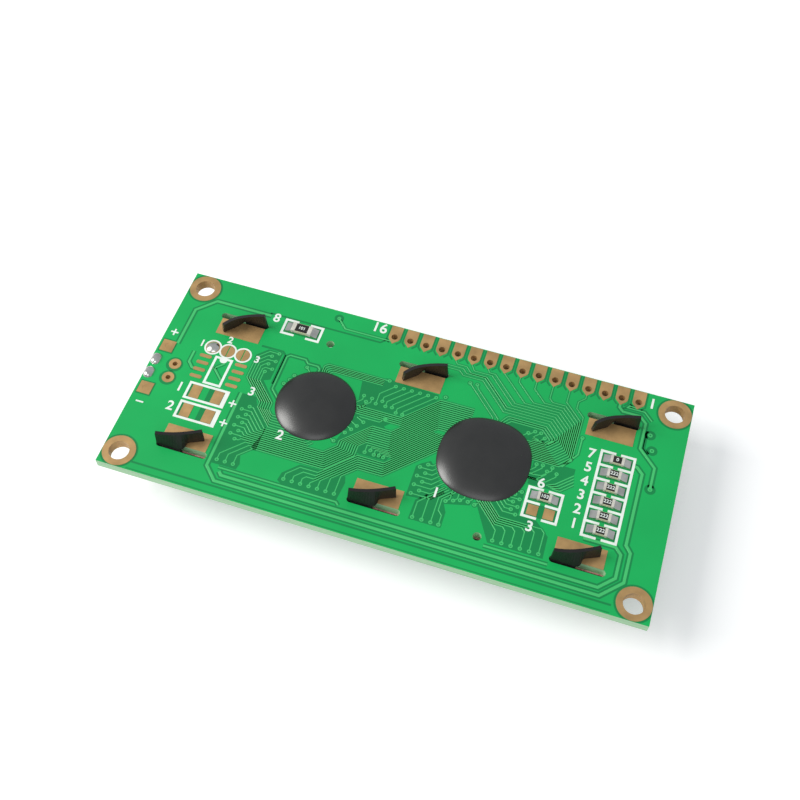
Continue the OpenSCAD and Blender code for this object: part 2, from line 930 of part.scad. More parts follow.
// A domed drop of resin with a slightly square outline, of the given width
module glob(width, squareness) {
    rings = 9;
    sides = 48;
    edge_power = 0.72;
    crown_power = 2.5;
    radius = [for (k = [0:sides - 1])
        let (a = 360 * k / sides)
        width / 2 / pow(pow(abs(cos(a)), squareness) + pow(abs(sin(a)), squareness), 1 / squareness)];
    share = [for (j = [0:rings - 1]) cos(90 * j / rings)];
    points = concat(
        [for (j = [0:rings - 1], k = [0:sides - 1])
            let (
                a = 360 * k / sides,
                z = glob_h * pow(1 - pow(share[j], crown_power), edge_power)
            )
            [share[j] * radius[k] * cos(a), share[j] * radius[k] * sin(a), z]],
        [[0, 0, glob_h]]
    );
    bands = [for (j = [0:rings - 2], k = [0:sides - 1])
        let (
            a = j * sides + k,
            b = j * sides + (k + 1) % sides
        )
        each [[b, a, a + sides], [b, a + sides, b + sides]]];
    crown = [for (k = [0:sides - 1])
        [(rings - 1) * sides + (k + 1) % sides, (rings - 1) * sides + k, rings * sides]];
    polyhedron(points = points, faces = concat([[for (k = [0:sides - 1]) k]], bands, crown));
}

module die() {
    slab(die_side, die_side, die_t, 0);
}

// What stands on the board at a place
module on_board(place) {
    translate([place[0], place[1], board_top])
        children();
}

module driver_die() {
    color("slategray")
        on_board(driver_place)
            die();
}

module driver_glob() {
    color("#151515")
        on_board(driver_place)
            difference() {
                glob(driver_d, driver_squareness);
                die();
            }
}

module controller_die() {
    color("slategray")
        on_board(controller_place)
            die();
}

module controller_glob() {
    color("#151515")
        on_board(controller_place)
            difference() {
                glob(controller_d, controller_squareness);
                die();
            }
}

// ---- Chip resistors and solder ----

module chip_resistor(size) {
    color("ivory")
        slab(size[0] - 2 * skin_t, size[1] - 2 * skin_t, size[2] - 2 * skin_t, skin_t);
    color("silver")
        for (side = [-1, 1])
            translate([side * (size[0] - cap_l) / 2, 0, 0])
                slab(cap_l, size[1], size[2], 0);
    color("#202020")
        slab(size[0] - 2 * cap_l, size[1] - 2 * coat_inset, 2 * skin_t, size[2] - 2 * skin_t);
}

module resistor(i) {
    translate([resistor_place(i)[0], resistor_place(i)[1], land_top])
        chip_resistor(resistor_size(i));
}

module resistor_1() {
    resistor(5);
}

module resistor_2() {
    resistor(4);
}

module resistor_3() {
    resistor(3);
}

module resistor_4() {
    resistor(2);
}

module resistor_5() {
    resistor(1);
}

module resistor_6() {
    resistor(6);
}

module resistor_7() {
    resistor(0);
}

module resistor_8() {
    resistor(7);
}

// Solder with a hollow slope, against the end face of a resistor
module solder_fillet(width) {
    rise = solder_h - solder_toe;
    slope_r = (solder_l * solder_l + rise * rise) / (2 * rise);
    rotate([90, 0, 0])
        linear_extrude(width, center = true)
            difference() {
                square([solder_l, solder_h]);
                translate([solder_l, solder_toe + slope_r])
                    circle(r = slope_r);
            }
}

module resistor_solder() {
    color("lightgray")
        for (i = [0:column_count + 1])
            translate([resistor_place(i)[0], resistor_place(i)[1], land_top])
                for (turn = [0, 180])
                    rotate(turn)
                        translate([resistor_size(i)[0] / 2, 0, 0])
                            solder_fillet(resistor_size(i)[1]);
}

// A sphere's cap of the given base radius and height
module drop(base_r, height) {
    ball_r = (base_r * base_r + height * height) / (2 * height);
    intersection() {
        translate([0, 0, height - ball_r])
            sphere(r = ball_r);
        translate([0, 0, height / 2])
            cube([2 * base_r + past, 2 * base_r + past, height], center = true);
    }
}

module jumper_solder() {
    color("lightgray")
        translate([jumper_places[0][0], jumper_places[0][1], land_top])
            drop(drop_r, drop_h);
}

// A mound with round ends that lies along the board's edge and fills the notch under it
module terminal_mound() {
    half_w = mound_w / 2;
    roll_r = (half_w * half_w + mound_h * mound_h) / (2 * mound_h);
    straight = mound_l - mound_w;
    translate([mound_x, 0, board_top])
        intersection() {
            translate([0, 0, mound_h - roll_r]) {
                rotate([90, 0, 0])
                    cylinder(r = roll_r, h = straight, center = true);
                for (side = [-1, 1])
                    translate([0, side * straight / 2, 0])
                        sphere(r = roll_r);
            }
            slab(mound_w + past, mound_l + past, mound_h + past, 0);
        }
    translate([0, 0, board_z])
        linear_extrude(board_t)
            intersection() {
                notch_shape();
                square([board_l, notch_w + past], center = true);
            }
}

module terminal_solder() {
    color("lightgray")
        for (y = lead_ys)
            difference() {
                translate([0, y, 0])
                    terminal_mound();
                lead(y);
            }
}

pcb();
mounting_rings();
header_lands();
tab_lands();
backlight_lands();
component_lands();
printed_outlines();
bezel();
front_polariser();
front_glass();
cell_seal();
rear_glass();
rear_polariser();
connector_strip_far();
connector_strip_near();
diffuser_film();
light_guide();
reflector_film();
led_carrier();
backlight_leds();
anode_lead();
cathode_lead();
driver_die();
driver_glob();
controller_die();
controller_glob();
resistor_1();
resistor_2();
resistor_3();
resistor_4();
resistor_5();
resistor_6();
resistor_7();
resistor_8();
resistor_solder();
jumper_solder();
terminal_solder();
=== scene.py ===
import bpy
import json
import math
from mathutils import Matrix, Vector


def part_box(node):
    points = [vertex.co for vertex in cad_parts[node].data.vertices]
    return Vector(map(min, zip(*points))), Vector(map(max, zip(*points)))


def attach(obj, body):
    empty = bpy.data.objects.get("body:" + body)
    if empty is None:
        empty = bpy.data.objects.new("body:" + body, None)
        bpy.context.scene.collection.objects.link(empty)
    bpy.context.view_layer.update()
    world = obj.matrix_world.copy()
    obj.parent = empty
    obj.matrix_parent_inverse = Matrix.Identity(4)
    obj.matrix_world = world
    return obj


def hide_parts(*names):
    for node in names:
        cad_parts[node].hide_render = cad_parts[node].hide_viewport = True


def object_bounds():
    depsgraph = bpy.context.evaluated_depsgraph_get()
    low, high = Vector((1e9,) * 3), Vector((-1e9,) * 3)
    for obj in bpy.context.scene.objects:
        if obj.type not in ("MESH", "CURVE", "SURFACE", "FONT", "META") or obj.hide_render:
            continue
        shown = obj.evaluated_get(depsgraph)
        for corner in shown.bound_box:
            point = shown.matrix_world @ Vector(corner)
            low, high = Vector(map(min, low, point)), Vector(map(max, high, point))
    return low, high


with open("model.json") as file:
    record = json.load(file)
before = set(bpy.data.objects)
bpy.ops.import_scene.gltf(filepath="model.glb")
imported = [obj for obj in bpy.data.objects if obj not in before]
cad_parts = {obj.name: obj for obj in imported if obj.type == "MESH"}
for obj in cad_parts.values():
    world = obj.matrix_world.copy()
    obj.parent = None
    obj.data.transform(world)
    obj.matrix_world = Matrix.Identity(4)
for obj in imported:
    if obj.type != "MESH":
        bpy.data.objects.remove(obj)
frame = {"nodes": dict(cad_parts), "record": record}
nodes = frame["nodes"]
size_before = [list(corner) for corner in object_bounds()]
MM = 0.001

# heights over the board's top and thicknesses of the pattern, figures and signs, in millimetres
PATCH_RISE, GAP_RISE, TRACE_RISE = 0.005, 0.002, 0.008
GAP_H, ROUND_GAP_H, RING_GAP_H = 0.004, 0.005, 0.003
TRACE_H, VIA_H = 0.016, 0.018
INK_RISE, INK_T, INK_STROKE = 0.028, 0.012, 0.045
SIGN_RISE, SIGN_H = 0.016, 0.024

# widths of the copper pattern, in millimetres
TRACE_W, TRACE_GAP = 0.15, 0.13
VIA_R, VIA_GAP, VIA_BORE = 0.3, 0.14, 0.13
TRACE_BEVEL = 0.03
RAIL_W, RAIL_GAP = 0.42, 0.26
EDGE_MARGIN = 0.02

# printed figures: height of the numbers beside the pieces, the jumpers' and the chips' own
FIGURE_H, PIN_FIGURE_H, OUTLINE_FIGURE_H, JUMPER_FIGURE_H, CODE_H = 1.6, 1.8, 1.5, 1.2, 0.55
SIZE_OF_FIGURE = 1.38  # font size over the height of its figures
CODE_STROKE = 0.012
SIGN_ARM, SIGN_W = 0.6, 0.25

# the globs' outlines are between a circle (power 2) and a square, and their domes are steep at the rim
DRIVER_SQUARENESS, CONTROLLER_SQUARENESS = 2.05, 2.3
CROWN_POWER, RIM_POWER = 2.5, 0.72

# the camera of the photograph, solved from the board's corners and mounting holes
CAMERA_PLACE = Vector((0.023025, -0.075237, 0.141334))
CAMERA_RIGHT = Vector((0.95152, 0.30746, 0.00849))
CAMERA_UP = Vector((-0.26395, 0.80209, 0.53571))
LENS, SENSOR, CLIP_START = 47.7, 36, 0.01

# light: watts of the two lamps, strengths of the world and of the floor's own glow
KEY_POWER, FILL_POWER = 4.6, 1.0
WORLD_GLOW, FLOOR_GLOW = 0.45, 0.3
FLOOR_DROP = 0.00002  # metres between the object's lowest point and the floor

board_low, board_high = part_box("pcb")
MID_X = (board_low.x + board_high.x) / 2 / MM
MID_Y = (board_low.y + board_high.y) / 2 / MM
TOP = board_high.z / MM
HALF_L = (board_high.x - board_low.x) / 2 / MM
HALF_W = (board_high.y - board_low.y) / 2 / MM


def centre(node):
    low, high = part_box(node)
    return (low + high) / 2 / MM


def half_size(node):
    low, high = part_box(node)
    return (high - low) / 2 / MM


# ---------------------------------------------------------------- materials

def new_material(name, base, rough=0.5, metal=0.0, coat=0.0, coat_rough=0.1, specular=0.5):
    mat = bpy.data.materials.new(name)
    mat.use_nodes = True
    shader = mat.node_tree.nodes["Principled BSDF"]
    shader.inputs["Base Color"].default_value = (*base, 1)
    shader.inputs["Roughness"].default_value = rough
    shader.inputs["Metallic"].default_value = metal
    shader.inputs["Coat Weight"].default_value = coat
    shader.inputs["Coat Roughness"].default_value = coat_rough
    shader.inputs["Specular IOR Level"].default_value = specular
    return mat, mat.node_tree, shader


def object_coords(tree):
    return tree.nodes.new("ShaderNodeTexCoord").outputs["Object"]


def noise(tree, scale, detail=3.0, stretch=None):
    tex = tree.nodes.new("ShaderNodeTexNoise")
    tex.inputs["Scale"].default_value = scale
    tex.inputs["Detail"].default_value = detail
    coords = object_coords(tree)
    if stretch:
        mapping = tree.nodes.new("ShaderNodeMapping")
        mapping.inputs["Scale"].default_value = stretch
        tree.links.new(coords, mapping.inputs["Vector"])
        coords = mapping.outputs["Vector"]
    tree.links.new(coords, tex.inputs["Vector"])
    return tex.outputs["Fac"]


def ramp(tree, factor, stops):
    node = tree.nodes.new("ShaderNodeValToRGB")
    elements = node.color_ramp.elements
    while len(elements) < len(stops):
        elements.new(0.5)
    for element, (place, colour) in zip(elements, stops):
        element.position = place
        element.color = (*colour, 1)
    tree.links.new(factor, node.inputs["Fac"])
    return node.outputs["Color"]


def scaled(colour, share):
    return tuple(min(1.0, c * share) for c in colour)


def vary_colour(tree, shader, base, scale, low, high):
    fac = noise(tree, scale)
    out = ramp(tree, fac, [(0.3, scaled(base, low)), (0.7, scaled(base, high))])
    tree.links.new(out, shader.inputs["Base Color"])
    return out


def vary_rough(tree, shader, scale, low, high):
    fac = noise(tree, scale)
    spread = tree.nodes.new("ShaderNodeMapRange")
    spread.inputs["To Min"].default_value = low
    spread.inputs["To Max"].default_value = high
    tree.links.new(fac, spread.inputs["Value"])
    tree.links.new(spread.outputs["Result"], shader.inputs["Roughness"])


def bump(tree, shader, scale, strength, distance, detail=3.0, coat=False):
    node = tree.nodes.new("ShaderNodeBump")
    node.inputs["Strength"].default_value = strength
    node.inputs["Distance"].default_value = distance
    tree.links.new(noise(tree, scale, detail), node.inputs["Height"])
    tree.links.new(node.outputs["Normal"], shader.inputs["Normal"])
    if coat:
        tree.links.new(node.outputs["Normal"], shader.inputs["Coat Normal"])


def plain(name, base, rough=0.5, metal=0.0, coat=0.0, scale=900, low=0.9, high=1.08,
          grain=0.1, depth=0.00002, coat_rough=0.1):
    """A finish with a faint cloud in its colour, uneven gloss and a fine grain."""
    mat, tree, shader = new_material(name, base, rough, metal, coat, coat_rough)
    vary_colour(tree, shader, base, scale, low, high)
    vary_rough(tree, shader, scale * 1.7, rough * 0.85, min(1, rough * 1.15))
    bump(tree, shader, scale * 3, grain, depth)
    return mat


MASK_POUR = (0.004, 0.42, 0.095)
MASK_GAP = (0.002, 0.235, 0.062)
MASK_TRACE = (0.055, 0.52, 0.15)


def mask_material(name, base, edge=None):
    """Solder mask: green lacquer with a coat, and where edge is given, pale board edges."""
    mat, tree, shader = new_material(name, base, 0.45, 0.0, 0.25, 0.2, 0.3)
    colour = vary_colour(tree, shader, base, 70, 0.93, 1.08)
    vary_rough(tree, shader, 300, 0.36, 0.5)
    bump(tree, shader, 1500, 0.05, 0.00002, coat=True)
    if edge:
        geometry = tree.nodes.new("ShaderNodeNewGeometry")
        split = tree.nodes.new("ShaderNodeSeparateXYZ")
        tree.links.new(geometry.outputs["True Normal"], split.inputs["Vector"])
        flat = tree.nodes.new("ShaderNodeMath")
        flat.operation = "ABSOLUTE"
        tree.links.new(split.outputs["Z"], flat.inputs[0])
        is_flat = tree.nodes.new("ShaderNodeMath")
        is_flat.operation = "GREATER_THAN"
        is_flat.inputs[1].default_value = 0.5
        tree.links.new(flat.outputs["Value"], is_flat.inputs[0])
        layers = noise(tree, 60, 4, stretch=(1, 1, 60))
        laminate = ramp(tree, layers, [(0.35, edge), (0.65, scaled(edge, 0.82))])
        mix = tree.nodes.new("ShaderNodeMix")
        mix.data_type = "RGBA"
        tree.links.new(is_flat.outputs["Value"], mix.inputs["Factor"])
        tree.links.new(laminate, mix.inputs[6])
        tree.links.new(colour, mix.inputs[7])
        tree.links.new(mix.outputs[2], shader.inputs["Base Color"])
    return mat


def resin_material():
    mat, tree, shader = new_material("black_resin", (0.012, 0.0115, 0.0105), 0.3, specular=0.9)
    vary_colour(tree, shader, (0.012, 0.0115, 0.0105), 400, 0.8, 1.25)
    vary_rough(tree, shader, 250, 0.29, 0.35)
    bump(tree, shader, 2600, 0.12, 0.00003, 2)
    return mat


def glass_material(name, tint, rough):
    mat, tree, shader = new_material(name, tint, rough)
    vary_colour(tree, shader, tint, 60, 0.97, 1.02)
    shader.inputs["Transmission Weight"].default_value = 0.9
    shader.inputs["IOR"].default_value = 1.5
    return mat


def strip_rubber():
    """Pink silicone with fine dark layers across it."""
    mat, tree, shader = new_material("pink_rubber", (0.75, 0.3, 0.3), 0.6)
    fac = noise(tree, 40, 1, stretch=(90, 0.5, 0.5))
    out = ramp(tree, fac, [(0.35, (0.62, 0.22, 0.22)), (0.6, (0.85, 0.38, 0.38))])
    tree.links.new(out, shader.inputs["Base Color"])
    bump(tree, shader, 800, 0.1, 0.00002)
    return mat


# how far from its middle a chip's ends begin, and how high its top, as shares of its box
END_SHARE, TOP_SHARE = 0.31, 0.97


def chip_material():
    """A chip resistor by its own box: tinned ends, pale ceramic sides and a black coat on top."""
    mat, tree, shader = new_material("chip_ceramic", (0.72, 0.66, 0.48), 0.45)
    split = tree.nodes.new("ShaderNodeSeparateXYZ")
    tree.links.new(tree.nodes.new("ShaderNodeTexCoord").outputs["Generated"], split.inputs["Vector"])

    def math_node(operation, first, second):
        node = tree.nodes.new("ShaderNodeMath")
        node.operation = operation
        tree.links.new(first, node.inputs[0])
        node.inputs[1].default_value = second
        return node.outputs["Value"]

    def mixed(factor, first, second):
        node = tree.nodes.new("ShaderNodeMix")
        node.data_type = "RGBA"
        tree.links.new(factor, node.inputs["Factor"])
        tree.links.new(first, node.inputs[6])
        tree.links.new(second, node.inputs[7])
        return node.outputs[2]

    from_middle = math_node("ABSOLUTE", math_node("SUBTRACT", split.outputs["X"], 0.5), 0)
    on_end = math_node("GREATER_THAN", from_middle, END_SHARE)
    on_top = math_node("GREATER_THAN", split.outputs["Z"], TOP_SHARE)
    grain = noise(tree, 1500)
    ceramic = ramp(tree, grain, [(0.3, (0.66, 0.61, 0.42)), (0.7, (0.76, 0.71, 0.53))])
    coat = ramp(tree, grain, [(0.3, (0.010, 0.009, 0.008)), (0.7, (0.022, 0.020, 0.018))])
    tin = ramp(tree, grain, [(0.3, (0.55, 0.53, 0.46)), (0.7, (0.72, 0.70, 0.62))])
    tree.links.new(mixed(on_end, mixed(on_top, ceramic, coat), tin), shader.inputs["Base Color"])
    return mat


mat_pcb = mask_material("solder_mask", MASK_POUR, edge=(0.42, 0.72, 0.42))
mat_gap = mask_material("mask_gap", MASK_GAP)
mat_trace = mask_material("mask_trace", MASK_TRACE)
mat_gold = plain("gold_plate", (0.58, 0.36, 0.15), 0.42, 0.5, scale=500, low=0.8, high=1.15, grain=0.25)
mat_ink = plain("white_ink", (0.86, 0.92, 0.86), 0.6, scale=1200, low=0.92, high=1.04, grain=0.2)
mat_steel = plain("black_steel", (0.007, 0.006, 0.006), 0.5, 0.0, 0.05, scale=600, low=0.7, high=1.4,
                  grain=0.3, depth=0.00003, coat_rough=0.25)
mat_resin = resin_material()
mat_solder = plain("solder", (0.80, 0.79, 0.74), 0.22, 1.0, scale=700, low=0.75, high=1.12, grain=0.35,
                   depth=0.00006)
mat_ceramic = chip_material()
mat_tin = plain("tinned_strip", (0.72, 0.72, 0.72), 0.3, 1.0, scale=500, low=0.85, high=1.08, grain=0.2)
mat_polariser = plain("polariser", (0.012, 0.02, 0.075), 0.12, 0.0, 0.6, scale=60, low=0.9, high=1.1,
                      grain=0.02)
mat_glass = glass_material("cell_glass", (0.85, 0.93, 0.90), 0.05)
mat_seal = plain("seal_resin", (0.6, 0.56, 0.42), 0.4)
mat_rubber = strip_rubber()
mat_film = plain("white_film", (0.85, 0.85, 0.85), 0.6, grain=0.05)
mat_guide = glass_material("guide_acrylic", (0.9, 0.94, 0.95), 0.3)
mat_mirror = plain("mirror_film", (0.85, 0.85, 0.86), 0.15, 1.0, grain=0.02)
mat_carrier = plain("carrier_board", (0.78, 0.78, 0.70), 0.5)
mat_led = plain("led_resin", (0.8, 0.7, 0.3), 0.4, coat=0.3)
mat_silicon = plain("silicon", (0.12, 0.13, 0.16), 0.2, 0.6, scale=300)

FINISHES = {
    "solder_mask": mat_pcb, "gold_plate": mat_gold, "white_ink": mat_ink, "black_steel": mat_steel,
    "polariser": mat_polariser, "cell_glass": mat_glass, "seal_resin": mat_seal,
    "pink_rubber": mat_rubber, "white_film": mat_film, "guide_acrylic": mat_guide,
    "mirror_film": mat_mirror, "carrier_board": mat_carrier, "led_resin": mat_led,
    "tinned_strip": mat_tin, "silicon": mat_silicon, "black_resin": mat_resin,
    "chip_ceramic": mat_ceramic, "solder": mat_solder,
}
slot_of = {s["node"]: s["material_slot"] for s in frame["record"]["subparts"]}
for name, obj in nodes.items():
    obj.data.materials.clear()
    obj.data.materials.append(FINISHES[slot_of[name]])


# ---------------------------------------------------------------- shapes

class Shape:
    """Collects faces, in millimetres from the board's centre, and makes one piece of them."""

    def __init__(self):
        self.points, self.faces = [], []

    def add(self, points, faces):
        start = len(self.points)
        self.points += points
        self.faces += [[start + i for i in face] for face in faces]

    def keep_on_board(self):
        """Points past the board's edge move back to it."""
        x_max, y_max = HALF_L - EDGE_MARGIN, HALF_W - EDGE_MARGIN
        self.points = [(max(-x_max, min(x_max, x)), max(-y_max, min(y_max, y)), z)
                       for x, y, z in self.points]

    def piece(self, name, material, slot, smooth=False):
        mesh = bpy.data.meshes.new(name)
        points = [((x + MID_X) * MM, (y + MID_Y) * MM, z * MM) for x, y, z in self.points]
        mesh.from_pydata(points, [], self.faces)
        mesh.materials.append(material)
        mesh.validate()
        for polygon in mesh.polygons:
            polygon.use_smooth = smooth
        obj = bpy.data.objects.new(name, mesh)
        bpy.context.scene.collection.objects.link(obj)
        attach(obj, "root")
        return obj


def offset_path(path, distance):
    """The path moved sideways to its left by a distance, with its corners kept sharp."""
    out = []
    for i, point in enumerate(path):
        p = Vector(point)
        before = (p - Vector(path[i - 1])).normalized() if i else None
        after = (Vector(path[i + 1]) - p).normalized() if i < len(path) - 1 else None
        before, after = before or after, after or before
        mean = (before + after).normalized()
        side = Vector((-mean.y, mean.x))
        out.append(tuple(p + side * distance / max(0.3, mean.dot(after))))
    return out


def ribbon(shape, path, width, z, height, bevel=0.0):
    """A flat raised strip along a path, narrower at its top by a bevel on each side."""
    half = width / 2
    profile = ((half, z), (half - bevel, z + height), (-half + bevel, z + height), (-half, z))
    rows = [(offset_path(path, d), h) for d, h in profile]
    points = [(row[i][0], row[i][1], h) for i in range(len(path)) for row, h in rows]
    faces = []
    for i in range(len(path) - 1):
        a = 4 * i
        faces += [[a + k, a + k + 4, a + k + 5, a + k + 1] for k in range(3)]
    last = 4 * (len(path) - 1)
    faces += [[3, 2, 1, 0], [last, last + 1, last + 2, last + 3]]
    shape.add(points, [face[::-1] for face in faces])


def disc(shape, x, y, radius, z, height, inner=0.0, sides=20):
    """A thin raised disc, or a ring where an inner radius is given."""
    turn = [(math.cos(math.tau * k / sides), math.sin(math.tau * k / sides)) for k in range(sides)]
    low = [(x + radius * c, y + radius * s, z) for c, s in turn]
    high = [(x + radius * c, y + radius * s, z + height) for c, s in turn]
    following = [(k + 1) % sides for k in range(sides)]
    wall = [[k, j, sides + j, sides + k] for k, j in enumerate(following)]
    if inner:
        hole = [(x + inner * c, y + inner * s, z + height) for c, s in turn]
        top = [[sides + k, sides + j, 2 * sides + j, 2 * sides + k] for k, j in enumerate(following)]
        shape.add(low + high + hole, wall + top)
    else:
        shape.add(low + high, wall + [[sides + k for k in range(sides)]])


# ---------------------------------------------------------------- copper under the mask

gaps, traces = Shape(), Shape()
GAP_Z, TRACE_Z = TOP + GAP_RISE, TOP + TRACE_RISE


def patch(*points):
    """A flat area without copper, its corners listed anticlockwise."""
    gaps.add([(x, y, TOP + PATCH_RISE) for x, y in points], [list(range(len(points)))])


def box_patch(x0, y0, x1, y1):
    patch((x0, y0), (x1, y0), (x1, y1), (x0, y1))


def trace(path, width=TRACE_W, gap=TRACE_GAP):
    """A copper line, with a strip without copper on each side of it."""
    ribbon(gaps, path, width + 2 * gap, GAP_Z, GAP_H)
    ribbon(traces, path, width, TRACE_Z, TRACE_H, TRACE_BEVEL)


def groove(path, width=0.3):
    """A line without copper between two flat areas."""
    ribbon(gaps, path, width, GAP_Z, GAP_H)


def via(x, y, radius=VIA_R):
    """A via under the mask: a small ring in a round without copper."""
    disc(gaps, x, y, radius + VIA_GAP, GAP_Z, ROUND_GAP_H)
    disc(traces, x, y, radius, TRACE_Z, VIA_H, VIA_BORE)


def lead(x, y, *path, width=TRACE_W):
    """A via and the trace that leaves it."""
    via(x, y)
    trace([(x, y), *path], width)


driver, controller = centre("driver_glob"), centre("controller_glob")
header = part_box("header_lands")
PIN_PITCH, PIN_COUNT = 2.54, 16
pin_1 = header[1].x / MM - MID_X - 0.93
pins = [pin_1 - i * PIN_PITCH for i in range(PIN_COUNT)]
TAIL_Y = header[0].y / MM - MID_Y + 0.15
VIA_ROW = -12.5


def header_loop():
    """Traces from the header that run right, turn down beside the larger glob and go under it."""
    starts = [
        [(pins[3], TAIL_Y), (pins[3], 14.1), (23.5, 13.2), (23.5, 12.0)],
        [(pins[4], TAIL_Y), (pins[4], 12.6)],
        [(pins[5], TAIL_Y), (pins[5], 12.5)],
        [(pins[6], TAIL_Y), (pins[6], 13.4)],
        [(pins[7], TAIL_Y), (pins[7], 13.9)],
        [(pins[8], TAIL_Y)],
        [(pins[9], TAIL_Y), (9.6, 14.1), (10.5, 14.1)],
        [(pins[10], TAIL_Y), (7.3, 13.7), (10.1, 13.7)],
        [(pins[11], TAIL_Y), (4.5, 14.1), (6.0, 14.1), (6.9, 13.2), (9.4, 13.2)],
        [(3.0, 13.6), (5.6, 13.6), (6.3, 12.9), (9.2, 12.9)],
        [(3.0, 13.1), (5.2, 13.1), (5.9, 12.4), (9.0, 12.4)],
    ]
    for k, path in enumerate(starts):
        column = 24.75 - 0.28 * k
        x, y = path[-1]
        if k < 2:
            path.append((column, y - (column - x)))
        else:
            level = 11.9 - 0.48 * (k - 2)
            corner = 21.9 - 0.21 * (k - 2)
            path += [(x + y - level, level), (corner, level), (column, level - (column - corner))]
        end = 1.6 + 0.28 * k
        path += [(column, end + 1.5), (column - 1.5, end), (controller.x + 3, end)]
        trace(path)
    for k in range(3):
        level, column = 7.55 - 0.36 * k, 21.6 - 0.32 * k
        left, right = 14.0 + 0.3 * k, 20.0 - 0.2 * k
        trace([(13.1 + 0.35 * k, 5.8), (left, level - 0.3), (left + 0.3, level), (right, level),
               (column, level - (column - right)), (column, 5.4), (column - 0.7, 4.7),
               (18.5, 4.7 + 0.28 * k)])
    for x, y in ((17.7, 5.7), (18.6, 6.2), (19.5, 6.2), (20.2, 5.5)):
        lead(x, y, (x - 0.9, y - 0.9))
    for k in range(2):
        lead(7.3 + 1.1 * k, 11.4, (8.0 + 0.8 * k, 10.7), (12.1 + 0.8 * k, 6.6), (12.1 + 0.8 * k, 5.9))


def bus():
    """The slanting lines between the two globs, and where each of them goes at its lower end."""
    for i in range(26):
        slant = -3.1 + 0.42 * i
        if i < 15:
            level = 7.1 - 0.35 * i
            path = [(controller.x - 3.5, level), (slant + level, level)]
        else:
            path = [(slant + 1.5, 1.5)]
        if i < 5:
            level = 2.4 - 0.33 * i
            path += [(slant + level, level), (driver.x + 5, level)]
        elif i < 14:
            k = i - 5
            level, column, run = -0.3 - 0.36 * k, -8.0 + 0.36 * k, -6.6 - 0.33 * k
            drop = -5.0 - 0.1 * k
            path += [(slant + level, level), (-4.2, level), (column, -4.1), (column, drop),
                     (column + run - drop, run), (-19.0 - 0.1 * k, run)]
        elif i < 19:
            k = i - 14
            level = -3.55 - 0.22 * k
            end = -4.8 if k % 2 == 0 else level - 0.5
            path += [(slant + level, level), (-3.9 + 0.7 * k, level), (-3.9 + 0.7 * k, end)]
            via(-3.9 + 0.7 * k, end)
        else:
            k = i - 19
            level, turn, foot = -5.6 - 0.35 * k, -4.7 + 0.12 * k, -13.4 + 1.265 * k
            diagonal = turn - level
            path += [(slant + level, level), (turn, level)]
            if k < 3:
                run = -10.0 - 0.58 * k
                path += [(diagonal + run, run), (foot + 11.6 + run, run), (foot, -11.6)]
            else:
                path.append((foot, foot - diagonal))
            path.append((foot, VIA_ROW))
            via(foot, VIA_ROW)
        trace(path)


def driver_side():
    """Lines and vias left of the smaller glob and under it."""
    for k in range(12):
        run = -5.6 - 0.33 * k
        if k < 9:
            x, y = (-22.5, -23.45)[k % 2], -2.8 - 0.72 * k
            lead(x, y, (-21.9, y), (-21.9 + abs(y - run), run), (-18.9, run))
        else:
            x = -23.6 + 1.25 * (k - 9)
            knee = -11.4 + 0.2 * (k - 9)
            lead(x, VIA_ROW, (x, knee), (x + run - knee, run), (-18.9, run))
        if k < 3:
            trace([(-19.0, run), (-12.9 + 0.4 * k, run), (-12.3 + 0.4 * k, run + 0.6)])
    for k in range(6):
        x, y = (-21.8, -22.7)[k % 2], 7.4 - 0.74 * k
        column, inner = -24.9 + 0.42 * k, -21.4 + 0.36 * k
        knee = -23.3 + 0.1 * k
        level = -5.2 + 0.42 * k
        lead(x, y, (knee, y), (column, y - (knee - column)), (column, 2.0),
             (inner, 2.0 - (inner - column)), (inner, -2.4), (inner - 2.4 - level, level), (-15, level))
    trace([(-19.0, -0.3), (-20.5, 1.2), (-20.5, 7.3), (-20.1, 7.7), (-17.6, 7.7), (-17.0, 7.1),
           (-15.4, 7.1), (-15.0, 6.7), (-15.0, 6.0)], 0.2, 0.28)
    for x, y in ((-16.9, 6.4), (-18.2, 4.4), (-18.6, 3.5), (-19.2, 2.6)):
        lead(x, y, (x + 0.9, y - 0.9))
    for k in range(5):
        level, left = 7.98 - 0.27 * k, -14.5 + 0.3 * k
        end = -4.3 if k == 0 else -5.0
        trace([(left, 6.0), (left, level - 0.5), (left + 0.5, level), (end, level)])
    via(-4.3, 7.98)


def between_globs():
    """Vias on both sides of the bus, with their short leads."""
    ends = ((-5.0, 3.5), (-4.2, 4.2), (-3.5, 3.5), (-2.5, 3.6), (-1.7, 2.9), (-0.7, 2.9))
    for k, (x, y) in enumerate(ends):
        top = -3.1 + 1.26 * k
        via(x, y)
        lead(top, 7.3, (x, 7.3 - (top - x)), (x, y))
    for x, y in ((-5.8, 4.2), (-6.5, 3.4), (-7.1, 4.3)):
        lead(x, y, (x, y - 0.7), (x - 1.5, y - 2.2))
    for x, y in ((-5.7, -0.1), (-6.4, -1.0), (-7.0, -1.8), (-7.7, -2.6), (-8.8, -4.4)):
        lead(x, y, (x - 1.2, y + 0.6))
    lead(-2.8, 1.35, (-3.5, 0.65), (-6.6, 0.65))
    for k in range(8):
        x, y = (5.4, 4.4)[k % 2], -3.9 - 0.73 * k
        lead(x, y, (6.1 + 0.16 * k, y), (7.7 + 0.16 * k, y + 1.6))
    via(4.5, 7.8)


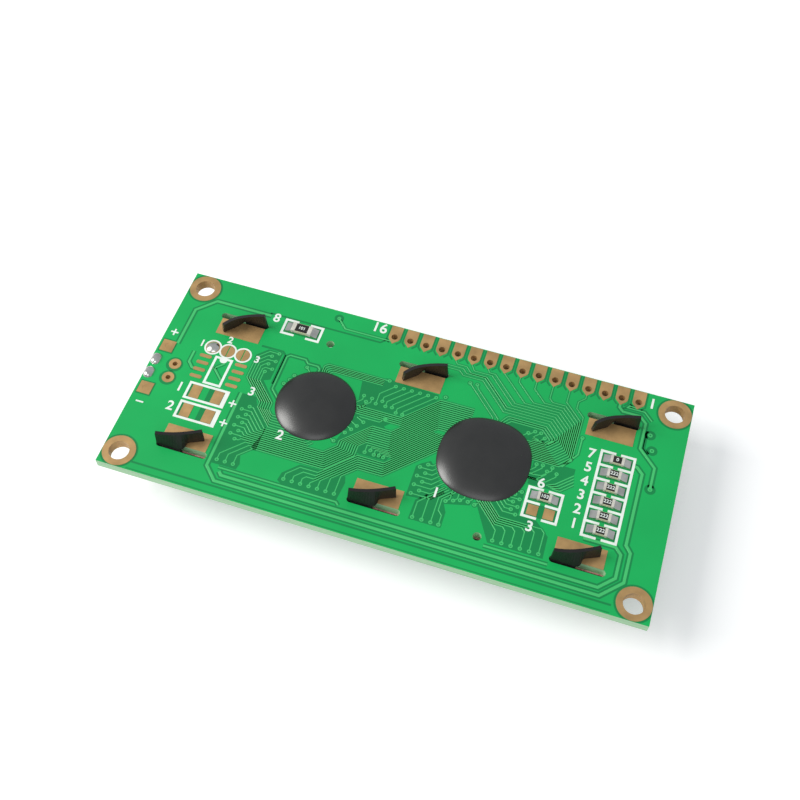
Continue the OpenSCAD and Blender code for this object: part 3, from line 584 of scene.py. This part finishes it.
def controller_side():
    """Lines and vias under the larger glob and right of it."""
    lead(5.7, VIA_ROW, (5.7, -10.0), (9.0, -6.7))
    lead(7.05, VIA_ROW, (7.05, -9.2), (9.4, -6.85))
    lead(8.35, VIA_ROW, (8.35, -8.5), (9.9, -6.95))
    lead(9.5, VIA_ROW, (9.5, -11.0), (8.85, -10.35), (8.85, -8.5), (10.4, -6.95))
    for x, y in ((9.4, -8.7), (10.4, -8.3), (11.3, -7.95), (12.4, -7.85), (13.4, -8.0)):
        lead(x, y, (x + 0.5, y + 0.5), (x + 0.5, -6.4))
    for k in range(6):
        foot, level, slant = 17.2 + 1.3 * k, -10.35 + 0.33 * k, 6.4 + 0.42 * k
        lead(foot, VIA_ROW, (foot, level - 0.5), (foot - 0.5, level), (slant - level, level),
             (slant + 6.5, -6.5))
    for k in range(7):
        x, y = (19.2, 18.4)[k % 2], -7.7 + 0.62 * k
        lead(x, y, (17.4 + 0.12 * k, y), (15.9 + 0.12 * k, y + 1.5))
    for k, (x, y) in enumerate(((20.1, 1.0), (21.0, 1.1), (21.8, 0.3), (22.4, 1.1), (23.2, 0.3))):
        lead(x, y, (x, y - 0.5), (x - 1.2, y - 1.7), (18.0, y - 1.7 - 0.3 * (k % 2)))
    for k in range(4):
        trace([(22.2 + 0.3 * k, -1.9 - 0.1 * k), (23.4 + 0.3 * k, -1.3 - 0.3 * k),
               (25.6 + 0.1 * k, 0.8 - 0.5 * k)], 0.17)
    lead(25.4, 7.3, (25.4, 4.4), (23.6, 2.6 - 0.9), width=0.22)


def rails():
    """The wide supply lines round the board's edge."""
    trace([(-22.9, -13.6), (-5.1, -13.6), (-4.7, -14.0)], 0.24, 0.2)
    trace([(16.2, -13.6), (25.2, -13.6)], 0.3, 0.2)
    trace([(-22.5, -14.2), (-22.0, -14.7), (32.4, -14.7), (34.4, -12.7), (34.4, -9.1), (33.5, -8.2),
           (29, -8.2)], RAIL_W, RAIL_GAP)
    trace([(-24.6, -0.9), (-24.6, -13.8), (-22.6, -15.8), (32.8, -15.8), (35.6, -13), (35.6, -8.5),
           (34.8, -7.5), (34.8, 4.1), (33.9, 5), (33.3, 5)], RAIL_W, RAIL_GAP)
    groove([(-35.4, -16.62), (34.6, -16.62)])
    groove([(-35.4, -17.75), (34.6, -17.75)], 0.14)
    trace([(-37.3, 4.4), (-37.3, 11.2), (-34.7, 13.8), (-25.6, 13.8)], RAIL_W, RAIL_GAP)
    groove([(-25.9, 14.25), (-7.9, 14.25), (-6.9, 15.2)])
    lead(-15.4, 16.6, (-13.8, 15.0), (-6.6, 15.0), (pins[15], TAIL_Y + 0.3), width=0.24)
    disc(gaps, -15.4, 16.6, 0.75, GAP_Z, GAP_H, sides=24)
    trace([(pins[1], TAIL_Y), (pins[1], 14.2), (30.1, 13.6), (32.7, 13.6), (33.7, 12.6), (33.7, 8.2),
           (36.3, 5.6), (36.3, 2.0)], 0.36, 0.27)
    trace([(pins[0], TAIL_Y), (pins[0] - 1.1, 14.9), (pins[0] - 1.4, 14.5), (pins[0] + 1.2, 14.5),
           (pins[0] + 2.5, 13.2)], 0.2, 0.24)
    for x, y in ((34.7, 10.8), (35.4, 8.3), (36.3, 2.0)):
        disc(gaps, x, y, 0.8, GAP_Z, GAP_H, sides=24)
        via(x, y, 0.34)
    groove([(34.2, 11.4), (34.2, 8.4), (35, 7.6)], 0.4)
    groove([(-24.9, 8.0), (-21.4, 8.0), (-20.9, 7.5), (-20.9, 2.0)], 0.36)
    trace([(-34.3, 3.9), (-34.3, 1.9), (-33.4, 1.0), (-32.4, 1.0)], 0.34, 0.2)
    trace([(-28.9, 3.2), (-30.3, 1.8)], 0.26, 0.18)
    trace([(-28.4, 0.2), (-30.3, 2.1)], 0.26, 0.18)


def clearances():
    """The bare rings and frames round the gilt lands, where the copper stops short of them."""
    for x in (-1, 1):
        for y in (-1, 1):
            disc(gaps, x * (HALF_L - 2.5), y * (HALF_W - 2.5), 2.75, GAP_Z, RING_GAP_H, inner=2.3, sides=48)
    for x in pins:
        for side in (-1.1, 1.1):
            groove([(x + side, HALF_W - 0.1), (x + side, TAIL_Y + 0.5),
                    (x + side * 0.5, TAIL_Y - 0.1)], 0.26)
    reach_of = {"resistor_6": 2.2, "resistor_8": 2.7}
    for figure in "75432168":
        node = "resistor_" + figure
        reach = reach_of.get(node, 2.3)
        place, half = centre(node), half_size(node)
        x, y, rise = place.x - MID_X, place.y - MID_Y, half.y + 0.25
        box_patch(x - reach, y - rise, x + reach, y + rise)
    for x, y in ((-29.7, -2.85), (-29.7, -6.3)):
        box_patch(x - 2.9, y - 1.35, x - 0.7, y + 1.35)
        box_patch(x + 0.4, y - 1.35, x + 2.9, y + 1.35)
    box_patch(20.2, -7.3, 24.7, -5.2)
    for y in (3.5, -4.5):
        box_patch(-39.7, y - 1.25, -37.3, y + 1.25)
    for y in (0.67, -1.83):
        disc(gaps, -36.15, y, 1.3, GAP_Z, RING_GAP_H, inner=0.7, sides=32)


def bare_areas():
    """Where the board has no flat copper between its lines."""
    patch((-24.2, -13.2), (-20.4, -13.2), (-20.2, -12.2), (-20.8, -10.4), (-19.2, -9.5), (-18.9, -5.3),
          (-21.6, -2.2), (-22.2, -0.9), (-24.2, -0.9))
    patch((-25.1, 2.0), (-21.3, -1.9), (-19.8, -2.6), (-19.6, -0.8), (-22.3, 2.2), (-21.4, 2.6),
          (-21.3, 7.7), (-23.6, 7.7), (-25.1, 6.2))
    patch((-14.2, -12.9), (-13.6, -13.3), (-5.2, -13.3), (-4.9, -10.4), (-5.2, -9.4), (-12.0, -9.6),
          (-14.0, -11.6))
    patch((-8.6, -4.6), (-4.6, -5.3), (-0.6, -5.3), (0.2, -3.4), (-2.6, 0.2), (-0.4, 2.4), (3.4, 6.6),
          (3.4, 7.9), (-4.9, 8.3), (-5.2, 6.7), (-8.2, 6.7), (-7.2, 0.5))
    patch((3.8, -9.6), (6.4, -9.4), (8.3, -7.0), (6.4, -4.0), (5.6, -3.2), (4.4, -4.0), (3.8, -4.6))
    patch((5.2, -12.9), (9.9, -12.9), (9.9, -10.4), (9.3, -9.2), (12.8, -8.3), (13.2, -7.0),
          (8.5, -6.5), (5.3, -9.8))
    patch((16.6, -13.0), (24.4, -13.0), (24.3, -9.6), (22.2, -7.7), (19.6, -7.7), (19.6, -3.6),
          (17.5, -3.6), (13.2, -7.0))
    patch((19.6, -2.4), (23.9, -2.4), (25.6, -0.8), (25.6, 1.9), (19.6, 1.9))
    patch((15.4, 4.4), (21.6, 4.6), (22.0, 5.6), (20.4, 7.3), (14.4, 7.2), (13.8, 6.4))


header_loop()
bus()
driver_side()
between_globs()
controller_side()
rails()
clearances()
bare_areas()
gaps.keep_on_board()
gaps.piece("mask_gaps", mat_gap, "solder_mask")
traces.piece("mask_traces", mat_trace, "solder_mask")


# ---------------------------------------------------------------- numbers and signs

def number(name, text, x, y, height, z=TOP + INK_RISE, stroke=INK_STROKE):
    """Printed figures, as flat raised ink, with their middle at x and y."""
    curve = bpy.data.curves.new(name, "FONT")
    curve.body = text
    curve.size = height * SIZE_OF_FIGURE * MM
    curve.align_x = "CENTER"
    curve.align_y = "CENTER"
    curve.extrude = INK_T * MM
    curve.offset = stroke * MM
    curve.resolution_u = 4
    obj = bpy.data.objects.new(name, curve)
    bpy.context.scene.collection.objects.link(obj)
    obj.matrix_world = Matrix.Translation(((x + MID_X) * MM, (y + MID_Y) * MM, z * MM))
    bpy.context.view_layer.update()
    mesh = bpy.data.meshes.new_from_object(obj.evaluated_get(bpy.context.evaluated_depsgraph_get()))
    world = obj.matrix_world.copy()
    bpy.data.objects.remove(obj)
    piece = bpy.data.objects.new(name, mesh)
    mesh.transform(world)
    mesh.materials.clear()
    mesh.materials.append(mat_ink)
    bpy.context.scene.collection.objects.link(piece)
    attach(piece, "root")


for figure in "754321":
    place = centre("resistor_" + figure)
    number("figure_resistor_" + figure, figure, place.x - MID_X - 3.75, place.y - MID_Y + 0.15, FIGURE_H)
number("figure_resistor_6", "6", 21.5, -1.8, FIGURE_H)
number("figure_capacitor_3", "3", 21.5, -8.9, FIGURE_H)
number("figure_resistor_8", "8", -24.6, 13.6, FIGURE_H)
for text, x, y in (("1", -33.7, 5.6), ("2", -29.8, 7.4), ("3", -24.6, 5.3)):
    number("figure_jumper_" + text, text, x, y, JUMPER_FIGURE_H)
number("figure_outline_3", "3", -23.2, -0.3, OUTLINE_FIGURE_H)
number("figure_capacitor_1", "1", -33.7, -2.8, FIGURE_H)
number("figure_capacitor_2", "2", -33.7, -6.3, FIGURE_H)
number("figure_driver", "2", -16.5, -6.0, FIGURE_H)
number("figure_controller", "1", 7.7, -7.9, FIGURE_H)
number("figure_pin_16", "16", -8.8, 16.8, PIN_FIGURE_H)
number("figure_pin_1", "1", 34.0, 16.2, PIN_FIGURE_H)
for figure, code in zip("12345678", ("222", "222", "222", "222", "222", "103", "0", "101")):
    place, half = centre("resistor_" + figure), half_size("resistor_" + figure)
    number("code_" + figure, code, place.x - MID_X, place.y - MID_Y, CODE_H,
           place.z + half.z + 0.004, CODE_STROKE)
signs = Shape()
for x, y, upright in ((-38.6, 6.2, True), (-38.3, -7.0, False), (-25.1, -3.1, True), (-25.1, -6.6, True)):
    ribbon(signs, [(x - SIGN_ARM, y), (x + SIGN_ARM, y)], SIGN_W, TOP + SIGN_RISE, SIGN_H)
    if upright:
        ribbon(signs, [(x, y - SIGN_ARM), (x, y + SIGN_ARM)], SIGN_W, TOP + SIGN_RISE, SIGN_H + 0.001)
signs.piece("polarity_signs", mat_ink, "white_ink")


# ---------------------------------------------------------------- smooth globs

def glob_skin(node, squareness, rings=24, sides=96):
    """The resin drop as one smooth dome, which stands for the CAD glob of the same size."""
    mid, half = centre(node), half_size(node)
    base, height = mid.z - half.z, 2 * half.z
    skin = Shape()
    points = []
    for j in range(rings):
        share = math.cos(math.pi / 2 * j / rings)
        rise = base + height * (1 - share ** CROWN_POWER) ** RIM_POWER
        for k in range(sides):
            c, d = math.cos(2 * math.pi * k / sides), math.sin(2 * math.pi * k / sides)
            reach = share * half.x / (abs(c) ** squareness + abs(d) ** squareness) ** (1 / squareness)
            points.append((mid.x - MID_X + reach * c, mid.y - MID_Y + reach * d, rise))
    points.append((mid.x - MID_X, mid.y - MID_Y, base + height))
    following = [(k + 1) % sides for k in range(sides)]
    faces = [[j * sides + k, j * sides + n, (j + 1) * sides + n, (j + 1) * sides + k]
             for j in range(rings - 1) for k, n in enumerate(following)]
    crown = (rings - 1) * sides
    faces += [[crown + k, crown + n, rings * sides] for k, n in enumerate(following)]
    faces.append(list(range(sides))[::-1])
    skin.add(points, faces)
    obj = skin.piece(node + "_skin", mat_resin, "black_resin", smooth=True)
    obj.data.polygons[-1].use_smooth = False
    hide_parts(node)


glob_skin("driver_glob", DRIVER_SQUARENESS)
glob_skin("controller_glob", CONTROLLER_SQUARENESS)


# ---------------------------------------------------------------- stage, light and camera

def area_light(name, place, aim, size_x, size_y, power, colour=(1, 1, 1)):
    data = bpy.data.lights.new(name, "AREA")
    data.shape = "RECTANGLE"
    data.size, data.size_y = size_x, size_y
    data.energy = power
    data.color = colour
    obj = bpy.data.objects.new(name, data)
    bpy.context.scene.collection.objects.link(obj)
    turn = (Vector(place) - Vector(aim)).to_track_quat("Z", "Y")
    obj.matrix_world = Matrix.Translation(place) @ turn.to_matrix().to_4x4()
    return obj


floor_mesh = bpy.data.meshes.new("floor")
floor_mesh.from_pydata([(-3, -3, 0), (3, -3, 0), (3, 3, 0), (-3, 3, 0)], [], [[0, 1, 2, 3]])
floor_z = size_before[0][2]
floor = bpy.data.objects.new("floor", floor_mesh)
bpy.context.scene.collection.objects.link(floor)
floor.location.z = floor_z - FLOOR_DROP
floor_mat, tree, shader = new_material("floor", (0.86, 0.86, 0.86), 0.9, specular=0.0)
path = tree.nodes.new("ShaderNodeLightPath")
glow = tree.nodes.new("ShaderNodeEmission")
glow.inputs["Color"].default_value = (1, 1, 1, 1)
glow.inputs["Strength"].default_value = FLOOR_GLOW
both = tree.nodes.new("ShaderNodeAddShader")
pick = tree.nodes.new("ShaderNodeMixShader")
tree.links.new(shader.outputs["BSDF"], both.inputs[0])
tree.links.new(glow.outputs["Emission"], both.inputs[1])
tree.links.new(path.outputs["Is Camera Ray"], pick.inputs["Fac"])
tree.links.new(shader.outputs["BSDF"], pick.inputs[1])
tree.links.new(both.outputs["Shader"], pick.inputs[2])
tree.links.new(pick.outputs["Shader"], tree.nodes["Material Output"].inputs["Surface"])
floor_mesh.materials.append(floor_mat)

middle = Vector((0, 0, 0.008))
key = area_light("key", (-0.55, -0.12, 0.46), middle, 0.42, 0.42, KEY_POWER, (1.0, 0.99, 0.96))
fill = area_light("fill", (0.1, -0.5, 0.6), middle, 0.5, 0.5, FILL_POWER)

world = bpy.data.worlds.new("world")
bpy.context.scene.world = world
world.use_nodes = True
tree = world.node_tree
back = tree.nodes["Background"]
back.inputs["Color"].default_value = (0.9, 0.95, 1.0, 1)
back.inputs["Strength"].default_value = WORLD_GLOW
white = tree.nodes.new("ShaderNodeBackground")
white.inputs["Color"].default_value = (1, 1, 1, 1)
white.inputs["Strength"].default_value = 1.0
path = tree.nodes.new("ShaderNodeLightPath")
pick = tree.nodes.new("ShaderNodeMixShader")
tree.links.new(path.outputs["Is Camera Ray"], pick.inputs["Fac"])
tree.links.new(back.outputs["Background"], pick.inputs[1])
tree.links.new(white.outputs["Background"], pick.inputs[2])
tree.links.new(pick.outputs["Shader"], tree.nodes["World Output"].inputs["Surface"])

camera_data = bpy.data.cameras.new("camera")
camera_data.lens = LENS
camera_data.sensor_width = SENSOR
camera_data.clip_start = CLIP_START
camera = bpy.data.objects.new("camera", camera_data)
bpy.context.scene.collection.objects.link(camera)
rotation = Matrix((CAMERA_RIGHT, CAMERA_UP, CAMERA_RIGHT.cross(CAMERA_UP))).transposed().to_4x4()
camera.matrix_world = Matrix.Translation(CAMERA_PLACE) @ rotation
bpy.context.scene.camera = camera
bpy.context.scene.view_settings.view_transform = "Standard"
